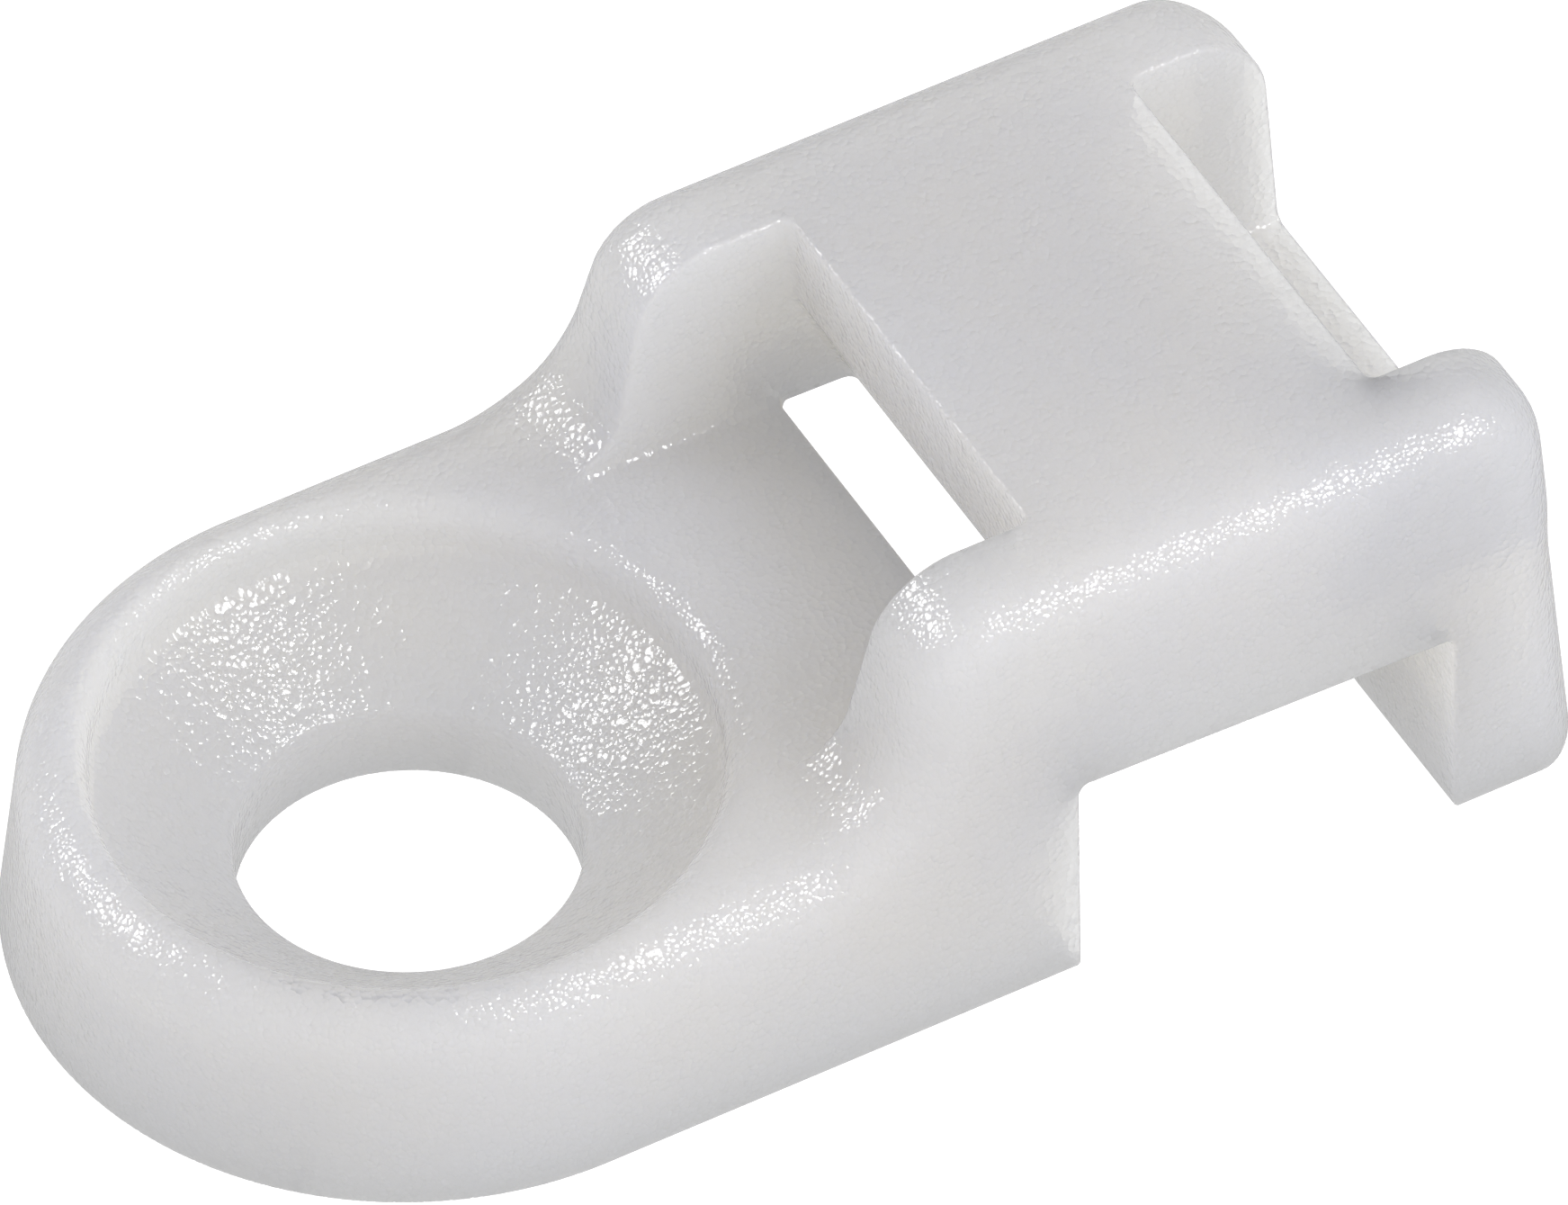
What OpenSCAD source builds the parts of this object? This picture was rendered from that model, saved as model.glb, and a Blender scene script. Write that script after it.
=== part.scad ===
// Cable tie mount, fixed by one screw: a countersunk tongue with a round front, and behind
// it a bridge held between two drafted cheeks. A tie passes under the bridge, out through
// the cheeks or up through the slots before and behind the bridge.
// Origin on the screw axis at the underside, X to the rear, Z up, millimetres.

/* [Tongue] */
// Width of the whole mount at its underside, also the diameter of its round front
base_w = 11; // [10:0.25:14]
// Thickness of the tongue
tongue_t = 3.1; // [2.8:0.05:4]
// Radius of the tongue's upper edge
tongue_edge_r = 0.8; // [0.3:0.05:1]
// Draft of all outer side walls, in degrees
side_draft = 7; // [3:0.5:9]

/* [Screw hole] */
// Clearance hole for the screw
screw_d = 4.7; // [3.5:0.1:5.5]
// Plastic left under the screw head
land_t = 1.15; // [0.8:0.05:1.4]
// Included angle of the seat for the screw head, in degrees
seat_angle = 114; // [90:1:120]
// Wall between the sunk seat and the outer edge of the underside
rim_w = 1.25; // [0.9:0.05:1.5]
// Radius of the rim above the sunk seat
rim_r = 0.4; // [0.1:0.05:0.5]

/* [Tie channel] */
// Screw axis to the front wall of the channel, at the underside
channel_x = 7.2; // [6.8:0.1:10]
// Width of the channel, front wall to rear wall
channel_w = 5.75; // [5:0.05:8]
// Height of the channel at its front wall
channel_h = 3; // [2.5:0.05:3.5]
// Lean of both channel walls towards the rear, in degrees
wall_lean = 3.5; // [0:0.5:5]
// Fall of the channel roof towards the rear, in degrees
roof_fall = 1.5; // [0:0.25:3]
// Radius in the corners of the channel roof
roof_corner_r = 0.2; // [0.1:0.05:0.5]

/* [Bridge] */
// Thickness of the bridge over the front of the channel
bridge_t = 3.25; // [2.5:0.05:4]
// Slot between the bridge and each channel wall
slot_w = 1.1; // [0.8:0.05:1.5]
// Overhang of the bridge top over its underside, at the front and at the rear
bridge_flare = 0.85; // [0.3:0.05:1]
// Height of the upright lip along the front and rear of the bridge top
bridge_lip = 1.35; // [0.5:0.05:1.5]

/* [Cheeks] */
// Thickness of each cheek at its top
cheek_t = 1.5; // [1.2:0.05:2.2]
// Draft of the inner faces of the cheeks, in degrees
inner_draft = 3.5; // [0:0.5:5]
// Reach of the cheeks in front of the channel, at the underside
cheek_lead = 3.1; // [2.5:0.05:3.5]
// Lean of the cheek fronts towards the rear, in degrees
front_lean = 13; // [5:0.5:16]
// Radius where the cheek fronts roll into the top
front_top_r = 1; // [0.5:0.05:1.3]
// Radius of the outer top edges of the cheeks
side_top_r = 0.65; // [0.3:0.05:1]
// Radius of the outer front edges of the cheeks
front_edge_r = 0.7; // [0.3:0.05:1]
// Radius of the fillet between the cheek fronts and the tongue
foot_r = 1; // [0.5:0.05:1.3]

/* [Rear leg] */
// Thickness of the leg behind the channel, at the underside
leg_t = 2.3; // [1.8:0.05:3.5]
// Height of the leg between the cheeks
leg_h = 2.65; // [2:0.05:2.8]
// Draft of the rear face, in degrees
rear_draft = 2.5; // [0:0.5:4]
// Radius where the rear ends of the cheeks roll into the top
rear_top_r = 1.2; // [0.5:0.05:1.3]
// Radius of the upright rear edges
rear_edge_r = 1.1; // [0.5:0.05:1.5]

/* [Hidden] */
$fn = 96;
over = 1;                                  // reach of every cutter past the faces it cuts
half_w = base_w / 2;
mount_h = channel_h + bridge_t;
rear_x = channel_x + channel_w + leg_t;
cheek_x = channel_x - cheek_lead;
sink_r = half_w - rim_w;
seat_top = land_t + (sink_r - screw_d / 2) / tan(seat_angle / 2);
mid_h = channel_h / 2;                     // a height inside the channel, where the slots end

// Where each leaning or drafted face stands at height z
function side_y(z) = half_w - z * tan(side_draft);
function inner_y(z) = side_y(mount_h) - cheek_t - (mount_h - z) * tan(inner_draft);
function front_x(z) = cheek_x + z * tan(front_lean);
function back_x(z) = rear_x - z * tan(rear_draft);
function wall_x(z) = channel_x + z * tan(wall_lean);
function rear_wall_x(z) = wall_x(z) + channel_w;
function roof_z(x) = channel_h - (x - wall_x(channel_h)) * tan(roof_fall);

// Sliver between a corner at the origin and the round of radius r that replaces it. One
// side of the corner lies along +X and the other at the given angle, anticlockwise.
module round_off(r, angle) {
  run = r / tan(angle / 2);
  difference() {
    polygon([
      [run, r],
      [run, -over],
      -2 * over * [cos(angle / 2), sin(angle / 2)],
      [run * cos(angle) - over * sin(angle), run * sin(angle) + over * cos(angle)]
    ]);
    translate([run, r]) circle(r);
  }
}

// Side views, drawn in X and Z, are made this wide in Y
module across(width) {
  rotate([90, 0, 0]) linear_extrude(width, center = true) children();
}

// Cross sections, drawn in Y and Z, run from x0 to x1
module along(x0, x1) {
  translate([x0, 0, 0]) rotate([90, 0, 90]) linear_extrude(x1 - x0) children();
}

// Cross section with drafted sides and rounded top edges
module drafted_section(height, edge_r) {
  difference() {
    polygon([[-half_w, 0], [half_w, 0], [side_y(height), height], [-side_y(height), height]]);
    for (side = [0, 1]) mirror([side, 0]) {
      translate([side_y(height), height]) rotate(180) round_off(edge_r, 90 + side_draft);
    }
  }
}

// Rounds an upright outer edge, from below the underside to above the top. The edge starts
// at [x, y] on the underside and leans by lean_x and lean_y degrees; the body lies towards
// +X and -Y of it.
module upright_edge(x, y, r, lean_x, lean_y) {
  reach = 2 * (mount_h + over);
  corner = 90 + asin(sin(lean_x) * sin(lean_y));
  translate([x, y, 0]) rotate([atan(tan(lean_y) * cos(lean_x)), lean_x, 0])
    linear_extrude(reach, center = true) rotate(-90) round_off(r, corner);
}

module tongue() {
  rotate([0, 0, 90]) rotate_extrude(angle = 180) intersection() {
    drafted_section(tongue_t, tongue_edge_r);
    square([base_w, tongue_t + over]);
  }
  along(0, wall_x(tongue_t)) drafted_section(tongue_t, tongue_edge_r);
}

// Cheeks, bridge and rear leg before the hollows are cut
module block() {
  difference() {
    intersection() {
      across(2 * base_w) difference() {
        polygon([
          [front_x(0), 0],
          [back_x(0), 0],
          [back_x(mount_h), mount_h],
          [front_x(mount_h), mount_h]
        ]);
        translate([front_x(mount_h), mount_h]) rotate(270 - front_lean)
          round_off(front_top_r, 90 + front_lean);
        translate([back_x(mount_h), mount_h]) rotate(180)
          round_off(rear_top_r, 90 + rear_draft);
      }
      along(cheek_x - over, rear_x + over) drafted_section(mount_h, side_top_r);
    }
    for (side = [0, 1]) mirror([0, side, 0]) {
      upright_edge(cheek_x, half_w, front_edge_r, front_lean, side_draft);
      mirror([1, 0, 0]) upright_edge(-rear_x, half_w, rear_edge_r, rear_draft, side_draft);
    }
  }
}

// Fillet at the foot of the cheek fronts, as wide as the flat top of the tongue
module foot() {
  across(2 * (side_y(tongue_t) - tongue_edge_r))
    translate([front_x(tongue_t), tongue_t]) rotate(90 - front_lean)
      round_off(foot_r, 90 + front_lean);
}

// What lies between the cheeks, at every x and down through the channel
module between_cheeks() {
  low_z = -2 * over;
  high_z = mount_h + over;
  along(-half_w, rear_x + over) polygon([
    [-inner_y(low_z), low_z],
    [inner_y(low_z), low_z],
    [inner_y(high_z), high_z],
    [-inner_y(high_z), high_z]
  ]);
}

// Side view of a pocket and its slot: from the floor beyond end_x down the channel wall,
// and up the face of the bridge, whose lower edge is at edge_x. side is -1 before the
// bridge and 1 behind it.
module pocket(side, end_x, floor_z, wall_foot, wall_top, floor_x, edge_x) {
  top_x = edge_x + side * bridge_flare;
  lip_z = mount_h - bridge_lip;
  slope = side * bridge_flare / (lip_z - roof_z(edge_x));
  hidden_x = edge_x - slope * (roof_z(edge_x) - mid_h);
  intersection() {
    between_cheeks();
    across(base_w) polygon([
      [end_x, floor_z],
      [floor_x, floor_z],
      wall_top,
      wall_foot,
      [hidden_x, -over],
      [hidden_x, mid_h],
      [top_x, lip_z],
      [top_x, mount_h + over],
      [end_x, mount_h + over]
    ]);
  }
}

module front_pocket() {
  pocket(
    side = -1,
    end_x = 0,
    floor_z = tongue_t,
    wall_foot = [wall_x(-over), -over],
    wall_top = [wall_x(channel_h), channel_h],
    floor_x = wall_x(tongue_t),
    edge_x = wall_x(channel_h) + slot_w
  );
}

module rear_pocket() {
  pocket(
    side = 1,
    end_x = rear_x + over,
    floor_z = leg_h,
    wall_foot = [rear_wall_x(-over), -over],
    wall_top = [rear_wall_x(leg_h), leg_h],
    floor_x = rear_wall_x(leg_h),
    edge_x = rear_wall_x(channel_h) - slot_w
  );
}

// Channel for the tie, open below and at both sides
module channel() {
  front_roof = [wall_x(channel_h), channel_h];
  rear_z = roof_z(rear_wall_x(channel_h));
  across(2 * base_w) difference() {
    polygon([
      [wall_x(-over), -over],
      [rear_wall_x(-over), -over],
      [rear_wall_x(rear_z), rear_z],
      front_roof
    ]);
    translate(front_roof) rotate(270 - wall_lean)
      round_off(roof_corner_r, 90 + wall_lean - roof_fall);
    translate([rear_wall_x(rear_z), rear_z]) rotate(180 - roof_fall)
      round_off(roof_corner_r, 90 - wall_lean + roof_fall);
  }
}

module screw_hole() {
  translate([0, 0, -over]) cylinder(d = screw_d, h = land_t + 2 * over);
  rotate_extrude() polygon([
    [0, land_t],
    [screw_d / 2, land_t],
    [sink_r, seat_top],
    [sink_r, tongue_t + over],
    [0, tongue_t + over]
  ]);
  rotate_extrude() translate([sink_r, tongue_t]) rotate(-90) round_off(rim_r, 90);
}

module tie_mount() {
  color("ivory") difference() {
    union() {
      tongue();
      block();
      foot();
    }
    front_pocket();
    rear_pocket();
    channel();
    screw_hole();
  }
}

tie_mount();
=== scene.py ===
import math

import bmesh
import bpy
import numpy as np
from mathutils import Matrix, Vector


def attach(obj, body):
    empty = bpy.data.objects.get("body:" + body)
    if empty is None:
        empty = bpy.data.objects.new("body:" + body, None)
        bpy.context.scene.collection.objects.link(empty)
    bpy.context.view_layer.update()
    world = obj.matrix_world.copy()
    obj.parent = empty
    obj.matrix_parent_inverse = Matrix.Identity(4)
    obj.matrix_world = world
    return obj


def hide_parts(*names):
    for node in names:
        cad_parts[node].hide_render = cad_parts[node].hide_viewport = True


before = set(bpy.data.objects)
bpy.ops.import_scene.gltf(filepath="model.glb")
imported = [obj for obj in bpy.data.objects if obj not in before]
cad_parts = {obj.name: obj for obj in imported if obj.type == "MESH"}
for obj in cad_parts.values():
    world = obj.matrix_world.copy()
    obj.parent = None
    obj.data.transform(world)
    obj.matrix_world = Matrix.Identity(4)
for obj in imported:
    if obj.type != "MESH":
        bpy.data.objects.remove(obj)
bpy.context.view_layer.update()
mm = 0.001

# Lengths in millimetres, angles in degrees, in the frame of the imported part.
form = {
    "halfWidth": 5.5,        # at the underside
    "sideDraft": 7.0,
    "top": 6.25,             # cheeks and bridge
    "tongueTop": 3.1,
    "tongueEdge": 0.8,       # rounding of the tongue's upper edge
    "cheekFoot": 4.08,       # where the leaning cheek fronts would meet the underside
    "frontLean": 13.0,
    "frontRoll": 1.0,        # cheek front into top
    "rearEnd": 15.25,
    "rearDraft": 2.5,
    "rearRoll": 1.2,         # cheek rear into top
    "topEdge": 0.63,         # outer top edges of the cheeks
    "rearEdge": 1.1,         # upright rear edges
    "footInside": 0.85,      # fillet from cheek front to tongue, between the cheeks
    "footOutside": 1.35,     # and at the outer sides
    "innerHalf": 3.22,       # half of the gap between the cheeks, at the top
    "innerDraft": 3.5,
    "bridgeFront": 7.69,
    "bridgeRear": 12.9,
    "bridgeLip": 1.35,       # height of the upright part of the bridge's faces
    "bridgeLean": 24.0,      # lean of the faces below it
    "channelFront": 7.2,
    "channelRear": 12.95,
    "wallLean": 3.5,
    "roof": 3.0,
    "roofFall": 1.5,
    "legTop": 2.65,
    "holeRadius": 2.35,
    "land": 1.15,
    "seatAngle": 114.0,
    "seatRadius": 4.27,      # at the tongue's top
    "seatDraft": 3.0,        # of the wall over the seat
    "rimRound": 0.4,         # from that wall into the tongue's top
    "seatFoot": 0.12,        # fillet where the cone meets that wall
    "holeMouth": 0.1,        # rounding from the hole into the cone
    "crispEdge": 0.05,       # rounding of the edges that the mould leaves sharp
    "softEdge": 0.06,        # of the rear pocket's and the channel's edges
    "frontPocketEdge": 0.07,
    "floorCorner": 0.1,      # fillets inside the pockets and the channel
    "rearFloorCorner": 0.06,
    "pocketCorner": 0.15,
    "channelCorner": 0.02,
    "roofCorner": 0.15,
    # where one rounding passes into the next
    "footBlend": (3.3, 4.7),     # inner to outer foot fillet, across
    "edgeBlend": (3.1, 4.2),     # tongue's edge to cheeks' edge, in height
    "rearBlend": (13.8, 15.2),   # cheeks' edge to rear edge, along
    "fullRim": 2.2,              # height where the hole's edge rounding has become the rim's
}


def roundBoth(a, b, r):
    # inside a and b, with the edge between them rounded to radius r
    return np.minimum(np.maximum(a, b), -r) + np.hypot(np.maximum(a + r, 0), np.maximum(b + r, 0))


def roundEither(a, b, r):
    # inside a or b, with a fillet of radius r between them
    return -roundBoth(-a, -b, r)


def smoothStep(low, high, value):
    t = np.clip((value - low) / (high - low), 0, 1)
    return t * t * (3 - 2 * t)


def passing(first, second, span, value):
    # goes smoothly from one length to the next, while the value goes through the span
    return first + (second - first) * smoothStep(*span, value)


def leaning(offset, height, degrees):
    # distance to a plane that passes through offset 0 at height 0 and leans inwards going up
    angle = math.radians(degrees)
    return offset * math.cos(angle) + height * math.sin(angle)


def screwVoid(radius, z):
    half = math.radians(form["seatAngle"] / 2)
    cone = (radius - form["holeRadius"]) * math.cos(half) - (z - form["land"]) * math.sin(half)
    wall = leaning(radius - form["seatRadius"], form["tongueTop"] - z, form["seatDraft"])
    seat = roundBoth(cone, wall, form["seatFoot"])
    return roundEither(radius - form["holeRadius"], seat, form["holeMouth"])


def mouldingField(p):
    # signed distance from the skin of the moulding, negative in the plastic
    x, y, z = p[:, 0], p[:, 1], p[:, 2]
    top = z - form["top"]
    side = leaning(np.hypot(np.minimum(x, 0), y) - form["halfWidth"], z, form["sideDraft"])
    front = leaning(form["cheekFoot"] - x, z, form["frontLean"])
    rear = leaning(x - form["rearEnd"], z, form["rearDraft"])

    cheeks = roundBoth(front, top, form["frontRoll"])
    foot = passing(form["footInside"], form["footOutside"], form["footBlend"], np.abs(y))
    outline = roundEither(z - form["tongueTop"], cheeks, foot)
    outline = roundBoth(outline, rear, form["rearRoll"])
    edge = passing(form["tongueEdge"], form["topEdge"], form["edgeBlend"], z)
    edge = edge + passing(0, form["rearEdge"] - form["topEdge"], form["rearBlend"], x)
    body = roundBoth(outline, side, edge)
    body = roundBoth(body, -z, form["crispEdge"])

    between = leaning(np.abs(y) - form["innerHalf"], -top, form["innerDraft"])
    kink = form["top"] - form["bridgeLip"]
    frontFace = np.minimum(x - form["bridgeFront"],
                           leaning(x - form["bridgeFront"], z - kink, form["bridgeLean"]))
    rearFace = np.minimum(form["bridgeRear"] - x,
                          leaning(form["bridgeRear"] - x, z - kink, form["bridgeLean"]))
    frontWall = leaning(form["channelFront"] - x, z, form["wallLean"])
    rearWall = leaning(x - form["channelRear"], -z, form["wallLean"])
    roof = leaning(z - form["roof"], x - form["channelFront"], form["roofFall"])

    frontFloor = roundEither(form["tongueTop"] - z, frontWall, form["floorCorner"])
    frontPocket = roundBoth(frontFace, frontFloor, form["crispEdge"])
    frontPocket = roundBoth(frontPocket, between, form["pocketCorner"])
    rearFloor = roundEither(form["legTop"] - z, rearWall, form["rearFloorCorner"])
    rearPocket = roundBoth(rearFace, rearFloor, form["crispEdge"])
    rearPocket = roundBoth(rearPocket, between, form["pocketCorner"])
    channel = roundBoth(frontWall, rearWall, form["channelCorner"])
    channel = roundBoth(channel, roof, form["roofCorner"])

    body = roundBoth(body, -frontPocket, form["frontPocketEdge"])
    body = roundBoth(body, -rearPocket, form["softEdge"])
    body = roundBoth(body, -channel, form["softEdge"])
    rim = passing(form["crispEdge"], form["rimRound"], (form["land"], form["fullRim"]), z)
    return roundBoth(body, -screwVoid(np.hypot(x, y), z), rim)


def fieldSlope(p, step=0.004):
    # outward direction and steepness of the field at each point
    slope = np.empty_like(p)
    for axis in range(3):
        nudge = np.zeros(3)
        nudge[axis] = step
        slope[:, axis] = (mouldingField(p + nudge) - mouldingField(p - nudge)) / (2 * step)
    return slope


def outward(p):
    # the skin's normal at each point
    slope = fieldSlope(p)
    return slope / (np.linalg.norm(slope, axis=1)[:, None] + 1e-9)


def settle(p, rounds, leastSteep=0.05, farthest=0.3):
    # brings points onto the skin, by no more than the farthest step at a time
    for _ in range(rounds):
        slope = fieldSlope(p)
        steep = np.maximum((slope ** 2).sum(1), leastSteep)
        move = -(mouldingField(p) / steep)[:, None] * slope
        p = p + np.clip(move, -farthest, farthest)
    return p


def readPoints(mesh):
    flat = np.empty(len(mesh.vertices) * 3)
    mesh.vertices.foreach_get("co", flat)
    return flat.reshape(-1, 3)


def writePoints(mesh, p):
    mesh.vertices.foreach_set("co", p.ravel())
    mesh.update()


# Lengths in millimetres, angles in degrees.
meshing = {
    "merge": 0.0005,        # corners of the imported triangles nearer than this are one
    "voxel": 0.14,          # of the first, even mesh
    "relaxings": 6,
    "relaxShare": 0.5,      # of the way to the middle of the neighbours, each time
    "settlings": 6,
    "shortest": 0.028,      # half of the shortest edge that is still split
    "bend": 14.0,           # an edge is split while its ends face this far apart
    "splittings": 4,
}


def evenMesh(node):
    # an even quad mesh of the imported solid, in millimetres
    blank = bpy.data.objects.new("blank", node.data.copy())
    bpy.context.scene.collection.objects.link(blank)
    blank.data.transform(Matrix.Scale(1 / mm, 4))
    work = bmesh.new()
    work.from_mesh(blank.data)
    bmesh.ops.remove_doubles(work, verts=work.verts, dist=meshing["merge"])
    work.to_mesh(blank.data)
    work.free()
    remesh = blank.modifiers.new("even", "REMESH")
    remesh.mode = "VOXEL"
    remesh.voxel_size = meshing["voxel"]
    remesh.adaptivity = 0
    graph = bpy.context.evaluated_depsgraph_get()
    even = bpy.data.meshes.new_from_object(blank.evaluated_get(graph), depsgraph=graph)
    bpy.data.objects.remove(blank)
    return even


def relax(mesh):
    # evens out the spacing of the points along the skin
    edges = np.empty(len(mesh.edges) * 2, int)
    mesh.edges.foreach_get("vertices", edges)
    a, b = edges.reshape(-1, 2).T
    p = readPoints(mesh)
    count = np.bincount(a, minlength=len(p)) + np.bincount(b, minlength=len(p))
    for _ in range(meshing["relaxings"]):
        total = np.zeros_like(p)
        np.add.at(total, a, p[b])
        np.add.at(total, b, p[a])
        normal = outward(p)
        shift = total / count[:, None] - p
        shift -= (shift * normal).sum(1)[:, None] * normal
        p = settle(p + meshing["relaxShare"] * shift, rounds=2)
    writePoints(mesh, p)


def refine(mesh):
    # splits edges where the skin turns sharply, and brings the new points onto the skin
    cosine = math.cos(math.radians(meshing["bend"]))
    for _ in range(meshing["splittings"]):
        p = readPoints(mesh)
        normal = outward(p)
        work = bmesh.new()
        work.from_mesh(mesh)
        work.edges.ensure_lookup_table()
        ends = np.array([(e.verts[0].index, e.verts[1].index) for e in work.edges])
        turn = (normal[ends[:, 0]] * normal[ends[:, 1]]).sum(1)
        length = np.linalg.norm(p[ends[:, 0]] - p[ends[:, 1]], axis=1)
        chosen = np.flatnonzero((turn < cosine) & (length > 2 * meshing["shortest"]))
        if not len(chosen):
            work.free()
            break
        bmesh.ops.subdivide_edges(work, edges=[work.edges[i] for i in chosen], cuts=1)
        bmesh.ops.triangulate(work, faces=work.faces)
        work.to_mesh(mesh)
        work.free()
        writePoints(mesh, settle(readPoints(mesh), rounds=3))
        print("refined to", len(mesh.polygons), "faces")


def makeMoulding(node):
    mesh = evenMesh(node)
    writePoints(mesh, settle(readPoints(mesh), meshing["settlings"]))
    relax(mesh)
    refine(mesh)
    mesh.transform(Matrix.Scale(mm, 4))
    mesh.materials.clear()
    piece = bpy.data.objects.new("moulding", mesh)
    bpy.context.scene.collection.objects.link(piece)
    mesh.shade_smooth()
    print("moulding made:", len(mesh.vertices), "points")
    return piece


# Lengths in metres.
nylon = {
    "colour": (0.47, 0.475, 0.52, 1),
    "warmer": (0.535, 0.51, 0.485, 1),   # tint of the clouds in the plastic
    "cloudSize": 0.004,
    "domeSize": 0.00009,        # width of the domes that the eroded mould leaves
    "patchRatio": 0.3,          # width of a dome over that of a patch of like domes
    "patchGain": 2.4,           # how much the domes' height differs from patch to patch
    "patchBase": -0.2,
    "fineSize": 0.00003,        # width of the finer grain on the domes
    "fineShare": 0.04,          # its height, as a share of theirs
    "grainDepth": 0.000016,
    "roughness": 0.11,
    "roughnessChange": 0.04,
    "ior": 1.53,
    "scatter": 0.018,           # how far light goes in the plastic
    "scatterTint": (1.0, 0.95, 0.8),
}


def makeGrainGroup():
    # spark-eroded skin: low domes of uneven height, with a finer grain over them
    group = bpy.data.node_groups.new("erodedGrain", "ShaderNodeTree")
    face = group.interface
    face.new_socket("Vector", in_out="INPUT", socket_type="NodeSocketVector")
    for name in ("Dome Size", "Fine Size", "Fine Share", "Cloud Size", "Roughness", "Roughness Change"):
        face.new_socket(name, in_out="INPUT", socket_type="NodeSocketFloat")
    for name in ("Colour", "Warmer"):
        face.new_socket(name, in_out="INPUT", socket_type="NodeSocketColor")
    face.new_socket("Height", in_out="OUTPUT", socket_type="NodeSocketFloat")
    face.new_socket("Roughness", in_out="OUTPUT", socket_type="NodeSocketFloat")
    face.new_socket("Colour", in_out="OUTPUT", socket_type="NodeSocketColor")
    entry = group.nodes.new("NodeGroupInput")
    result = group.nodes.new("NodeGroupOutput")

    def calculate(operation, *values):
        node = group.nodes.new("ShaderNodeMath")
        node.operation = operation
        for socket, value in zip(node.inputs, values):
            if isinstance(value, (int, float)):
                socket.default_value = value
            else:
                group.links.new(value, socket)
        return node.outputs[0]

    def texture(kind, size, factor=1.0, **settings):
        node = group.nodes.new(kind)
        for name, value in settings.items():
            if name in node.inputs:
                node.inputs[name].default_value = value
            else:
                setattr(node, name, value)
        group.links.new(entry.outputs["Vector"], node.inputs["Vector"])
        group.links.new(calculate("DIVIDE", factor, entry.outputs[size]), node.inputs["Scale"])
        return node

    domes = texture("ShaderNodeTexVoronoi", "Dome Size", feature="F1").outputs["Distance"]
    domes = calculate("SUBTRACT", 1.0, calculate("MULTIPLY", domes, domes))    # round tops
    patches = texture("ShaderNodeTexNoise", "Dome Size", factor=nylon["patchRatio"], Detail=1.0)
    patches = calculate("MULTIPLY_ADD", patches.outputs["Fac"], nylon["patchGain"], nylon["patchBase"])
    fine = texture("ShaderNodeTexNoise", "Fine Size", Detail=1.0).outputs["Fac"]
    height = calculate("MULTIPLY_ADD", fine, entry.outputs["Fine Share"],
                       calculate("MULTIPLY", domes, patches))
    group.links.new(height, result.inputs["Height"])

    clouds = texture("ShaderNodeTexNoise", "Cloud Size", Detail=3.0).outputs["Fac"]
    tint = group.nodes.new("ShaderNodeMix")
    tint.data_type = "RGBA"
    group.links.new(clouds, tint.inputs["Factor"])
    group.links.new(entry.outputs["Colour"], tint.inputs["A"])
    group.links.new(entry.outputs["Warmer"], tint.inputs["B"])
    group.links.new(tint.outputs["Result"], result.inputs["Colour"])
    change = calculate("MULTIPLY", calculate("SUBTRACT", clouds, 0.5),
                       entry.outputs["Roughness Change"])
    group.links.new(calculate("ADD", entry.outputs["Roughness"], change),
                    result.inputs["Roughness"])
    return group


def makeNylon():
    material = bpy.data.materials.new("naturalNylon")
    material.use_nodes = True
    tree = material.node_tree
    shader = tree.nodes["Principled BSDF"]
    shader.inputs["IOR"].default_value = nylon["ior"]
    shader.inputs["Subsurface Weight"].default_value = 1.0
    shader.inputs["Subsurface Radius"].default_value = nylon["scatterTint"]
    shader.inputs["Subsurface Scale"].default_value = nylon["scatter"]
    coordinates = tree.nodes.new("ShaderNodeTexCoord")
    grain = tree.nodes.new("ShaderNodeGroup")
    grain.node_tree = makeGrainGroup()
    for name, key in (("Dome Size", "domeSize"), ("Fine Size", "fineSize"),
                      ("Fine Share", "fineShare"), ("Cloud Size", "cloudSize"),
                      ("Roughness", "roughness"), ("Roughness Change", "roughnessChange"),
                      ("Colour", "colour"), ("Warmer", "warmer")):
        grain.inputs[name].default_value = nylon[key]
    bump = tree.nodes.new("ShaderNodeBump")
    bump.inputs["Strength"].default_value = 1.0
    bump.inputs["Distance"].default_value = nylon["grainDepth"]
    tree.links.new(coordinates.outputs["Object"], grain.inputs["Vector"])
    tree.links.new(grain.outputs["Height"], bump.inputs["Height"])
    tree.links.new(grain.outputs["Colour"], shader.inputs["Base Color"])
    tree.links.new(grain.outputs["Roughness"], shader.inputs["Roughness"])
    tree.links.new(bump.outputs["Normal"], shader.inputs["Normal"])
    print("nylon mixed")
    return material


# Lengths in millimetres, angles in degrees.
view = {
    "azimuth": -28.795,
    "elevation": 46.371,
    "roll": 0.775,
    "distance": 387.956,
    "right": 4.996,          # of the aim, from the origin
    "up": 3.970,
    "sensor": 36,
    "lens": 667.198,
}


def makeCamera():
    azimuth, roll = math.radians(view["azimuth"]), math.radians(view["roll"])
    back = pointing(view["azimuth"], view["elevation"])
    level = Vector((math.cos(azimuth), math.sin(azimuth), 0))
    upright = back.cross(level)
    right = math.cos(roll) * level - math.sin(roll) * upright
    up = math.sin(roll) * level + math.cos(roll) * upright
    data = bpy.data.cameras.new("camera")
    data.sensor_width = view["sensor"]
    data.lens = view["lens"]
    data.clip_start = 0.01
    data.clip_end = 10
    data.dof.use_dof = False
    camera = bpy.data.objects.new("camera", data)
    place = (view["right"] * right + view["up"] * up + view["distance"] * back) * mm
    turn = Matrix((right, up, back)).transposed().to_4x4()
    camera.matrix_world = Matrix.Translation(place) @ turn
    bpy.context.scene.collection.objects.link(camera)
    bpy.context.scene.camera = camera


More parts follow.
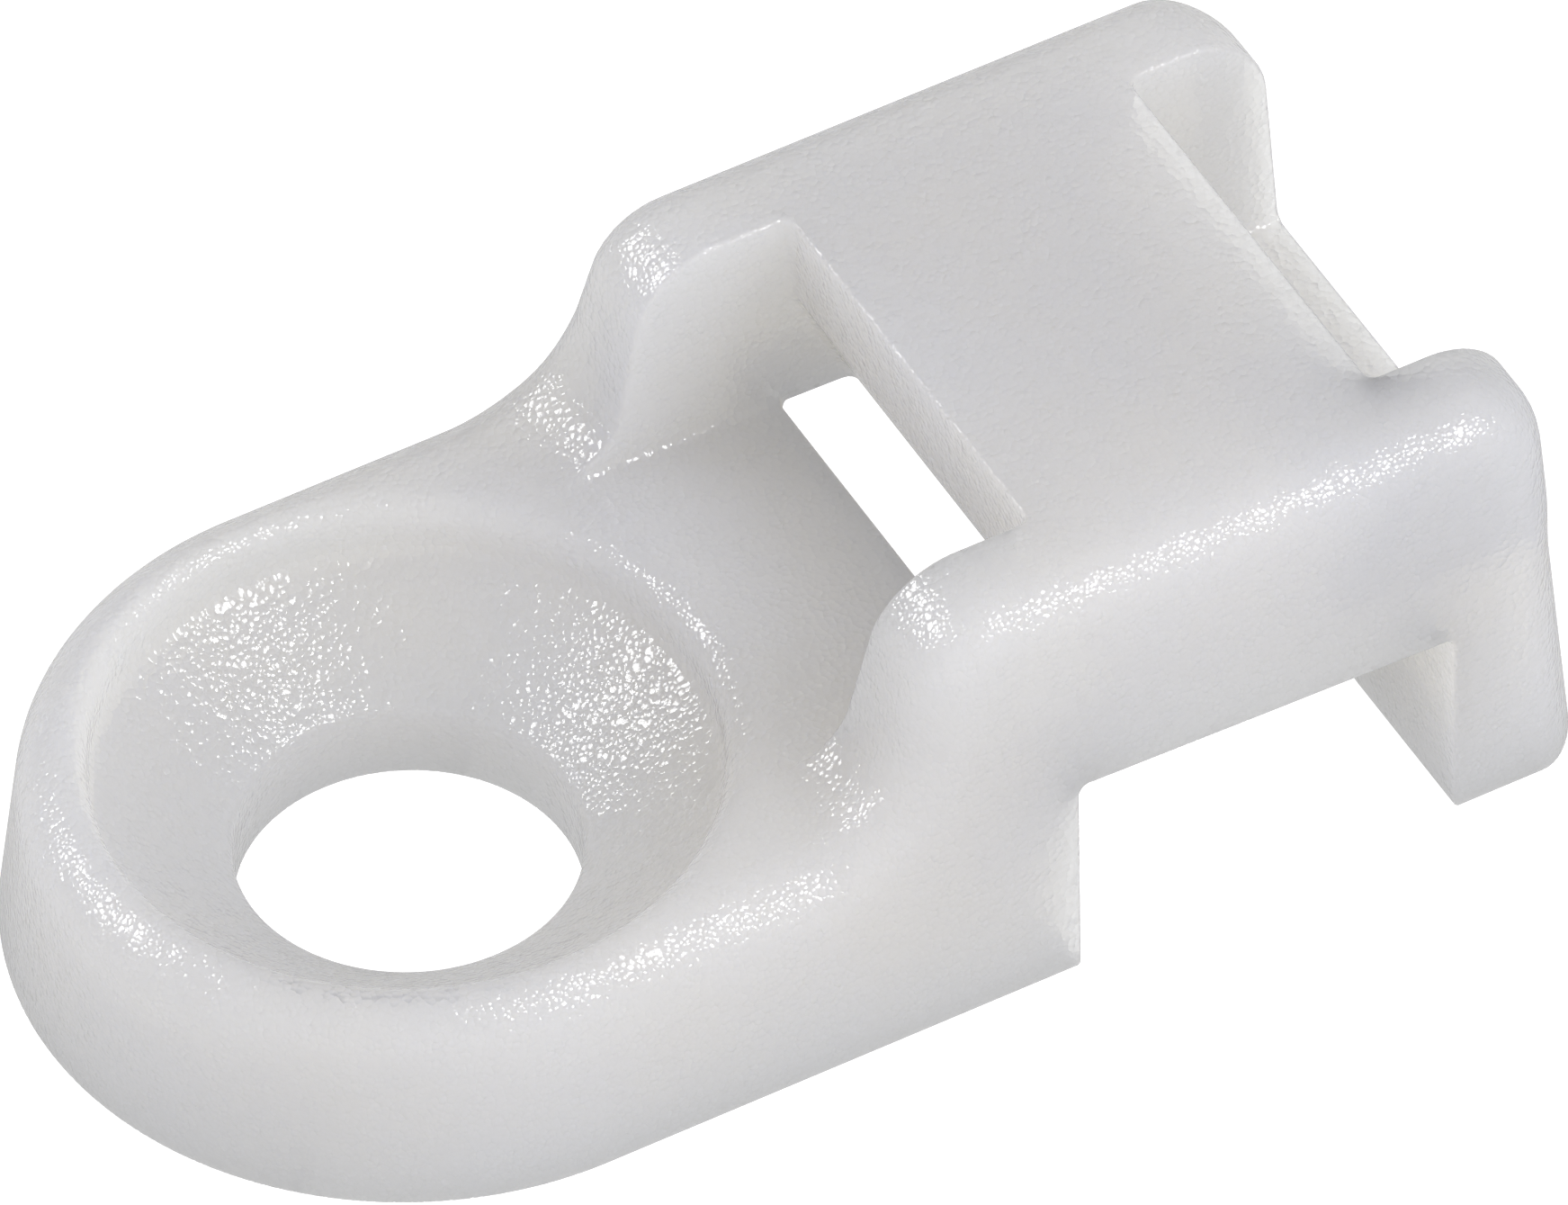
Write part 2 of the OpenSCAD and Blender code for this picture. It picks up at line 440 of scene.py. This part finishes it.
# Metres, degrees and watts.
lighting = {
    "aim": (0.005, 0, 0.003),
    "distance": 0.30,
    "softboxes": {
        "right": {"azimuth": 37, "elevation": 44, "size": 0.09, "power": 0.42},
        "left": {"azimuth": -130, "elevation": 34, "size": 0.095, "power": 0.34},
    },
    # the room is brightest in this direction, and dimmest in the opposite one
    "roomFront": {"azimuth": -4, "elevation": -8},
    "roomBright": 1.30,
    "roomDim": 0.05,
}


def pointing(azimuth, elevation):
    # direction at an azimuth from -Y towards +X and a height over the horizon, in degrees
    azimuth, elevation = math.radians(azimuth), math.radians(elevation)
    return Vector((math.sin(azimuth) * math.cos(elevation),
                   -math.cos(azimuth) * math.cos(elevation),
                   math.sin(elevation)))


def makeSoftboxes():
    for name, box in lighting["softboxes"].items():
        towards = pointing(box["azimuth"], box["elevation"])
        data = bpy.data.lights.new("softbox_" + name, "AREA")
        data.shape = "SQUARE"
        data.size = box["size"]
        data.energy = box["power"]
        lamp = bpy.data.objects.new("softbox_" + name, data)
        lamp.location = Vector(lighting["aim"]) + towards * lighting["distance"]
        lamp.rotation_euler = towards.to_track_quat("Z", "Y").to_euler()
        bpy.context.scene.collection.objects.link(lamp)


def makeRoom():
    world = bpy.data.worlds.new("studio")
    world.use_nodes = True
    tree = world.node_tree
    direction = tree.nodes.new("ShaderNodeTexCoord")
    facing = tree.nodes.new("ShaderNodeVectorMath")
    facing.operation = "DOT_PRODUCT"
    facing.inputs[1].default_value = pointing(**lighting["roomFront"])
    brightness = tree.nodes.new("ShaderNodeMapRange")
    brightness.inputs["From Min"].default_value = -1
    brightness.inputs["To Min"].default_value = lighting["roomDim"]
    brightness.inputs["To Max"].default_value = lighting["roomBright"]
    tree.links.new(direction.outputs["Generated"], facing.inputs[0])
    tree.links.new(facing.outputs["Value"], brightness.inputs["Value"])
    tree.links.new(brightness.outputs["Result"], tree.nodes["Background"].inputs["Strength"])
    tree.nodes["Background"].inputs["Color"].default_value = (1, 1, 1, 1)
    bpy.context.scene.world = world


# Lengths in metres.
paper = {
    "reach": 2.0,
    "drop": 0.00005,         # below the moulding, so that the two don't share a plane
    "grey": 0.2,
    "roughness": 0.9,
    "glow": 0.45,            # what it sends to the moulding
    "whitening": 0.6,        # what is added where the camera sees it
}


def makeFloor():
    mesh = bpy.data.meshes.new("floor")
    reach = paper["reach"]
    corners = [(-reach, -reach, 0), (reach, -reach, 0), (reach, reach, 0), (-reach, reach, 0)]
    mesh.from_pydata(corners, [], [range(len(corners))])
    floor = bpy.data.objects.new("floor", mesh)
    floor.location.z = -paper["drop"]
    bpy.context.scene.collection.objects.link(floor)
    material = bpy.data.materials.new("paper")
    material.use_nodes = True
    tree = material.node_tree
    shader = tree.nodes["Principled BSDF"]
    shader.inputs["Base Color"].default_value = (paper["grey"], paper["grey"], paper["grey"], 1)
    shader.inputs["Roughness"].default_value = paper["roughness"]
    shader.inputs["Emission Color"].default_value = (1, 1, 1, 1)
    ray = tree.nodes.new("ShaderNodeLightPath")
    glow = tree.nodes.new("ShaderNodeMath")
    glow.operation = "MULTIPLY_ADD"
    glow.inputs[1].default_value = paper["whitening"]
    glow.inputs[2].default_value = paper["glow"]
    tree.links.new(ray.outputs["Is Camera Ray"], glow.inputs[0])
    tree.links.new(glow.outputs[0], shader.inputs["Emission Strength"])
    mesh.materials.append(material)


moulding = makeMoulding(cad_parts["tie_mount"])
moulding.data.materials.append(makeNylon())
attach(moulding, "root")
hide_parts("tie_mount")

makeCamera()
makeSoftboxes()
makeRoom()
makeFloor()
print("studio set up")
bpy.context.scene.view_settings.view_transform = "Standard"
